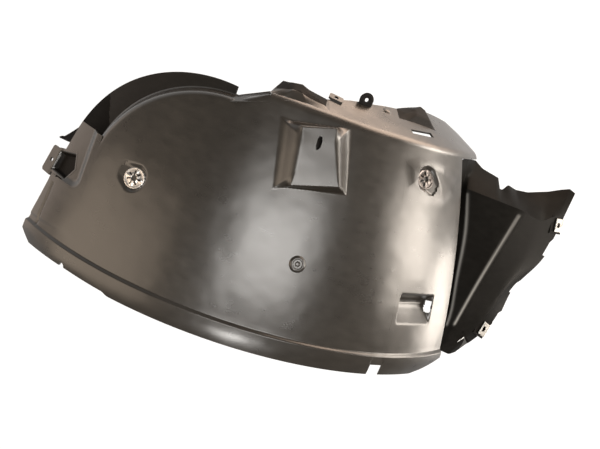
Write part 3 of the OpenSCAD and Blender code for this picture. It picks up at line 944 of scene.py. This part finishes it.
def keep_ear(p):
    """True on the flat ear and round its recess, and false in its hole."""
    q = ear_back @ p
    if hypot(q.x - ear_hole_x, q.y) < ear_hole_r:
        return False
    return (q.x < 4 and q.y < ear_half_w) or inside_by(ear_recess, q.x, q.y) > -3.6


ear = sheet_piece("tail_ear", len(ear_xs), len(ear_ys), ear_point, plastic, keep_ear)
# Painted shade on the floor of the recess.
darken(ear, shadow_black, lambda p: inside_by(ear_recess, (ear_back @ p).x, (ear_back @ p).y) > 1.0)
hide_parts("liner")

# %% Platform beside the tail edge
tail_x = sin(radians(-arc_tail))
platform_columns, platform_border, platform_round = 44, 10.0, 9.0
platform_ys = spaced(platform_y[0] - platform_round, platform_y[1], 1.2)


def platform_point(i, j):
    """A point of the platform, from a border on the sheet down its rounded edge to the tail."""
    y = platform_ys[j]
    start = platform_edge + platform_border
    x = start + (barrel_r(y) * tail_x - start) * (1 - i / platform_columns)
    near, low = platform_edge - x, y - platform_y[0]
    sunk = min(near, low)
    if max(near, low) <= platform_round:
        sunk = platform_round - hypot(platform_round - near, platform_round - low)
    drop = platform_h * ramp(sunk / 4.0 + 0.4, 0.4) - (0.05 if sunk < -2 else 0)
    return dropped(x, y, drop)


def off_recess(p):
    """True outside the ear's recess, which has its own floor."""
    q = ear_back @ p
    return inside_by(ear_recess, q.x, q.y) < -1.5


platform = sheet_piece("tail_platform", platform_columns + 1, len(platform_ys), platform_point, plastic,
                       off_recess)
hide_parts("liner")

# %% [markdown]
# ## Folded end panel
# Past the barrel the sheet folds into a valley, two ridges and a brow, and stands up at the top as a flat
# screen. The folds are stated as rows of points, and the grid runs smoothly along them and straight across
# them, with each fold a little rounded. The panel takes a darker copy of the plastic as painted shade, and
# the two ridges get a painted highlight, so each point of the panel also stores how near a ridge it is.

# %% End panel
def edge_point(y):
    """A point just under the barrel's bumper edge, where the panel starts."""
    return barrel_point(arc_front - 0.5, y, -1.0)


panel_rows = [
    [edge_point(216), (229, 219, 160), (233, 222, 172), (317, 217, 157), (356, 208, 133), (396, 226, 102)],
    [edge_point(165), (241, 165, 172), (250, 170, 180), (301, 160, 175), (347, 156, 148), (384, 162, 121)],
    [edge_point(110), (255, 110, 184), (259, 112, 193), (289, 114, 189), (333, 104, 165), (353, 110, 143)],
    [edge_point(62), (263, 60, 192), (267, 64, 202), (279, 68, 202), (316, 62, 179), (342, 60, 157)],
    [edge_point(14), (262, 14, 200), (266, 15, 204), (274, 17, 203), (290, 12, 193), (303, 14, 180)]]
screen_top = [
    (0, edge_point(254)), (1, (224, 256, 156)), (2, (243, 254, 125)), (2.2, (256, 247, 124)),
    (2.55, (285, 241, 113)), (2.56, (286, 230, 126)), (2.65, (293, 229, 122)), (2.8, (303, 236, 107)),
    (3, (319, 232, 98)), (3.3, (336, 234, 97)), (4, (368, 243, 84)), (4.4, (386, 250, 76)),
    (4.75, (400, 255, 72)), (5, (409, 252, 74))]
panel_folds = len(panel_rows[0]) - 1


def smooth_along(points, t):
    """A point on a smooth curve through a few points, t from 0 to 1."""
    f = t * (len(points) - 1)
    k = min(int(f), len(points) - 2)
    u = f - k
    p = [Vector(points[max(0, min(len(points) - 1, k + d))]) for d in (-1, 0, 1, 2)]
    return 0.5 * ((2 * p[1]) + (p[2] - p[0]) * u + (2 * p[0] - 5 * p[1] + 4 * p[2] - p[3]) * u * u
                  + (3 * p[1] - p[0] - 3 * p[2] + p[3]) * u ** 3)


fold_rounding = 0.16


def rounded_along(points, t):
    """A point on straight runs through a few points, with each corner rounded."""
    f = t * (len(points) - 1)

    def straight(v):
        v = max(0.0, min(len(points) - 1.0, v))
        k = min(int(v), len(points) - 2)
        return Vector(points[k]).lerp(Vector(points[k + 1]), v - k)

    if f < fold_rounding or f > len(points) - 1 - fold_rounding:
        return straight(f)
    return sum((straight(f + fold_rounding * s) for s in (-1, -0.5, 0, 0.5, 1)), Vector()) / 5


panel_across, panel_down, screen_rows = 110, 120, 20
edge_steps = [(0.0, 0.0), (0.16, 0.0), (0.17, -5.0), (0.24, -5.0), (0.25, 3.0), (0.44, 4.0), (0.45, -3.0),
              (0.52, -3.0), (0.53, 5.0), (0.66, 4.0), (0.67, -3.0), (0.74, -3.0), (0.75, 0.0), (0.9, 0.0),
              (0.91, -3.0), (1.0, -3.0)]


def edge_step(t):
    """How far the panel's outer edge stands out, or back where negative, at a share of its length."""
    for (a, va), (b, vb) in zip(edge_steps, edge_steps[1:]):
        if a <= t <= b:
            return va + (vb - va) * (t - a) / (b - a)
    return 0.0


def along_fold(k, t):
    """A point on one fold line of the panel, from the top row of points down."""
    return smooth_along([row[k] for row in panel_rows], t)


def panel_point(i, j):
    """A point of the panel, whose outer edge stands out or back in steps."""
    t = 1 - j / panel_down
    across = [along_fold(k, t) for k in range(panel_folds + 1)]
    across[-1] = across[-1] + (across[-1] - across[-2]).normalized() * edge_step(t)
    return rounded_along(across, i / panel_across)


def screen_point(i, j):
    """A point of the screen, between the panel's top row and the screen's own top edge."""
    f = panel_folds * i / panel_across
    for (a, low), (b, high) in zip(screen_top, screen_top[1:]):
        if a <= f <= b:
            top = Vector(low).lerp(Vector(high), (f - a) / (b - a))
            return panel_point(i, panel_down).lerp(top, j / screen_rows)


panel = sheet_piece("folded_end_panel", panel_across + 1, panel_down + 1, panel_point, shaded_panel_black)
# Painted highlight along the second and third folds, which the panel's material lightens.
ridges = [([along_fold(fold, t) for t in spaced(0.05, 0.8, 0.05)], strength)
          for fold, strength in ((2, 0.34), (3, 0.4))]
store_ridge_highlight(panel, ridges)
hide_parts("liner")
screen = sheet_piece("upright_screen", panel_across + 1, screen_rows + 1, screen_point, shaded_panel_black)
store_ridge_highlight(screen, [])
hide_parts("liner")

# %% Tabs that carry the spring nuts
tabs = [(0, (1, -19, 3), (-14, 35, 0)), (3, (-6, -11, 7), (-20, 32, -25)), (4, (3, 9, 0), (-8, 30, -42))]
tab_xs, tab_ys = spaced(-26, 0, 0.9), spaced(-12, 12, 0.9)
screw_x, screw_room = -9, 4.2
tab_frames = []
for k, (row, step, lean) in enumerate(tabs):
    axes = Matrix.Translation(Vector(panel_rows[row][-1]) + Vector(step)) @ leaned(lean)
    tab_frames.append(axes)
    back = axes.inverted()

    def tab_point(i, j):
        return axes @ Vector((tab_xs[i], tab_ys[j], 0))

    def off_screw_hole(p):
        return hypot((back @ p).x - screw_x, (back @ p).y) > screw_room

    tab = sheet_piece(f"nut_tab_{k}", len(tab_xs), len(tab_ys), tab_point, shaded_panel_black, off_screw_hole)
    store_ridge_highlight(tab, [])
    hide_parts("liner")

# %% [markdown]
# ## Fixings
# The washer nuts are discs with a serrated rim, raised tongues and a clinched neck. The retainer is a ringed
# plug. Both are profiles turned about an axis. Each spring nut is a strip folded round its tab, with a
# turned collar for the thread.

# %% Washer nuts
washer_profile = [
    (3.0, -3.5), (5.0, -3.5), (6.3, -3.4), (6.4, -2.7), (5.1, -2.5), (5.0, 0.0), (8.5, 0.0), (11.8, 0.0),
    (12.4, 0.15), (12.5, 0.5), (12.1, 0.95), (11.4, 1.2), (10.7, 1.1), (10.1, 0.85), (9.4, 0.8), (8.4, 0.85),
    (7.4, 0.9), (6.4, 1.0), (5.6, 1.3), (5.1, 1.8), (4.5, 2.1), (3.8, 2.1), (3.2, 1.9), (3.0, 1.4)]
serrations, tongues, cuts = 22, 4, 7


def pressed(a, r, z):
    """Serrations in the rim, and four tongues round the stud."""
    if r > 10.9:
        return r * (1 - 0.022 * (0.5 - 0.5 * cos(serrations * a))), z
    if z > 0.5 and r > 5.3:
        tongue = max(0.0, cos(tongues * a)) ** 2 * (1 if r < 9.6 else 0.3)
        return r, z + 0.75 * tongue
    return r, z


# The front nut takes the darker zinc as painted shade.
for node, seat, material in (("tail_washer_nut", "tail", zinc), ("front_washer_nut", "front", shaded_zinc)):
    angle, y, lean = seats[seat]
    axes = barrel_frame(angle, y) @ leaned(lean) @ Matrix.Translation((0, 0, -seat_depth))
    nut = turned_piece("pressed_" + node, axes, washer_profile, 132, material, pressed)
    back = axes.inverted()

    def in_cut(p):
        q = back @ p
        return 3.4 < hypot(q.x, q.y) < 8.6 and q.z > 0.6 and cos(cuts * atan2(q.y, q.x)) > 0.55

    # Painted shade in the cuts between the tongues.
    darken(nut, shadow_black, in_cut)
    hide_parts(node)

# %% Push retainer
retainer_profile = [
    (0.0, 1.9), (0.9, 1.9), (1.2, 2.6), (2.2, 2.6), (2.8, 2.1), (3.1, 1.5), (4.9, 1.5), (5.4, 2.3),
    (6.0, 2.6), (7.2, 2.4), (8.4, 1.4), (9.3, 0.3), (9.5, 0.0), (3.7, 0.0), (3.6, -2.8), (5.0, -3.5),
    (3.4, -9.0), (2.0, -16.0), (0.0, -16.0)]
retainer = turned_piece("ringed_retainer", barrel_frame(7.5, 105), retainer_profile, 64, plastic)
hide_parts("push_retainer")

# %% Spring nuts
strip_over, strip_under = 0.75, -3.25
strip_path = [(-17.2, 2.6), (-16.2, 1.5), (-14.8, strip_over)]
strip_path += [(x, strip_over) for x in spaced(-14, 0, 0.9)]
strip_path += [(0.45 + 1.2 * cos(radians(a)), -1.25 + 2.0 * sin(radians(a))) for a in spaced(80, -80, 16)]
strip_path += [(x, strip_under) for x in spaced(0, -16, 0.9)]
strip_ys = spaced(-9, 9, 0.9)
strip_thick, screw_way, screw_thread = 0.9, 3.2, 2.2
collar_profile = [(screw_thread, -4.0), (3.4, -4.0), (3.8, -3.4), (3.8, 0.0), (screw_thread, 0.0)]
for axes, node in zip(tab_frames, ("upper_spring_nut", "middle_spring_nut", "lower_spring_nut")):
    back = axes.inverted()

    def strip_point(i, j):
        x, z = strip_path[len(strip_path) - 1 - i]
        return axes @ Vector((x, strip_ys[len(strip_ys) - 1 - j], z))

    def off_screw(p):
        q = back @ p
        return hypot(q.x - screw_x, q.y) > (screw_way if q.z > 0 else screw_thread)

    columns, rows = len(strip_path), len(strip_ys)
    clip = sheet_piece("folded_" + node, columns, rows, strip_point, clip_zinc, off_screw, strip_thick)
    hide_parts(node)
    collar_axes = axes @ Matrix.Translation((screw_x, 0, -3.7))
    collar = turned_piece("collar_of_" + node, collar_axes, collar_profile, 32, clip_zinc)
    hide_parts(node)

# %% [markdown]
# ## Studio
# A glossy black sheet is seen by what it mirrors, so each lamp is placed where one of the photograph's
# highlights points: a wide panel in front, four small ones for the bumper end, the corner, the shoulder and
# the rim, a broad tan one at the tail with a faint one beside it, and a warm one like a ceiling. Few lamps
# would leave the sheet black between its highlights, and one big lamp would make it grey all over.

# %% Floor, world and lamps
def stage_material():
    """White to the camera and in mirrors, and a matt grey where it lights the part."""
    material, nodes, links = new_material("white_floor")
    nodes.remove(nodes["Principled BSDF"])
    output = nodes["Material Output"]
    white = nodes.new("ShaderNodeEmission")
    white.inputs["Strength"].default_value = 1.0
    matt = nodes.new("ShaderNodeBsdfDiffuse")
    matt.inputs["Color"].default_value = (0.85, 0.85, 0.85, 1)
    path = nodes.new("ShaderNodeLightPath")
    either = maths(nodes, "MAXIMUM")
    any_of = maths(nodes, "MAXIMUM")
    share = maths(nodes, "MULTIPLY", 0.85)
    mix = nodes.new("ShaderNodeMixShader")
    links.new(path.outputs["Is Camera Ray"], either.inputs[0])
    links.new(path.outputs["Is Glossy Ray"], either.inputs[1])
    links.new(either.outputs[0], any_of.inputs[0])
    links.new(path.outputs["Is Transmission Ray"], any_of.inputs[1])
    links.new(any_of.outputs[0], share.inputs[0])
    links.new(share.outputs[0], mix.inputs["Fac"])
    links.new(matt.outputs["BSDF"], mix.inputs[1])
    links.new(white.outputs["Emission"], mix.inputs[2])
    links.new(mix.outputs["Shader"], output.inputs["Surface"])
    return material


floor_height = -0.67
bm = bmesh.new()
bmesh.ops.create_grid(bm, x_segments=1, y_segments=1, size=6)
bmesh.ops.translate(bm, verts=bm.verts, vec=(0, 0, floor_height))
floor_mesh = bpy.data.meshes.new("floor")
bm.to_mesh(floor_mesh)
bm.free()
floor_mesh.materials.append(stage_material())
floor = bpy.data.objects.new("floor", floor_mesh)
bpy.context.scene.collection.objects.link(floor)

world = bpy.data.worlds.new("studio")
world.use_nodes = True
bpy.context.scene.world = world
nodes, links = world.node_tree.nodes, world.node_tree.links
background = nodes["Background"]
white_sky = nodes.new("ShaderNodeBackground")
white_sky.inputs["Color"].default_value = (1, 1, 1, 1)
background.inputs["Color"].default_value = (1.0, 0.95, 0.88, 1)
background.inputs["Strength"].default_value = 0.38
path = nodes.new("ShaderNodeLightPath")
mix = nodes.new("ShaderNodeMixShader")
links.new(path.outputs["Is Camera Ray"], mix.inputs["Fac"])
links.new(background.outputs["Background"], mix.inputs[1])
links.new(white_sky.outputs["Background"], mix.inputs[2])
links.new(mix.outputs["Shader"], nodes["World Output"].inputs["Surface"])

aim = Vector((0.03, 0.14, -0.08))


def lamp(name, azimuth, elevation, distance, width, height, power, colour):
    """A soft panel, seen from the part at an azimuth from +Z towards +X and an elevation towards +Y."""
    az, el = radians(azimuth), radians(elevation)
    data = bpy.data.lights.new(name, "AREA")
    data.shape = "RECTANGLE"
    data.size, data.size_y = width, height
    data.energy = power
    data.color = colour
    lamp_object = bpy.data.objects.new(name, data)
    bpy.context.scene.collection.objects.link(lamp_object)
    towards = Vector((cos(el) * sin(az), sin(el), cos(el) * cos(az)))
    side = Vector((0, 1, 0)).cross(towards).normalized()
    turn = Matrix((side, towards.cross(side), towards)).transposed()
    lamp_object.matrix_world = Matrix.Translation(aim + towards * distance) @ turn.to_4x4()


cool, warm, tan_light, ceiling = (1.0, 0.97, 0.93), (1.0, 0.9, 0.79), (1.0, 0.81, 0.63), (1.0, 0.74, 0.56)
lamp("front_panel", 8, 14, 1.9, 1.2, 0.75, 50, cool)
lamp("bumper_panel", 82, 13, 1.6, 0.6, 0.62, 27, warm)
lamp("corner_panel", 103, -3, 1.6, 0.35, 0.45, 11, warm)
lamp("shoulder_panel", 104, 34, 1.5, 0.35, 0.35, 13, warm)
lamp("rim_panel", 4, -24, 1.6, 0.3, 0.26, 14, cool)
lamp("tail_panel", -62, -8, 1.8, 1.6, 1.2, 24, tan_light)
lamp("tail_end_panel", -104, 0, 1.2, 0.4, 0.8, 1.5, ceiling)
lamp("ceiling_panel", 150, 58, 1.1, 1.2, 0.7, 26, ceiling)
bpy.context.scene.view_settings.view_transform = "Standard"
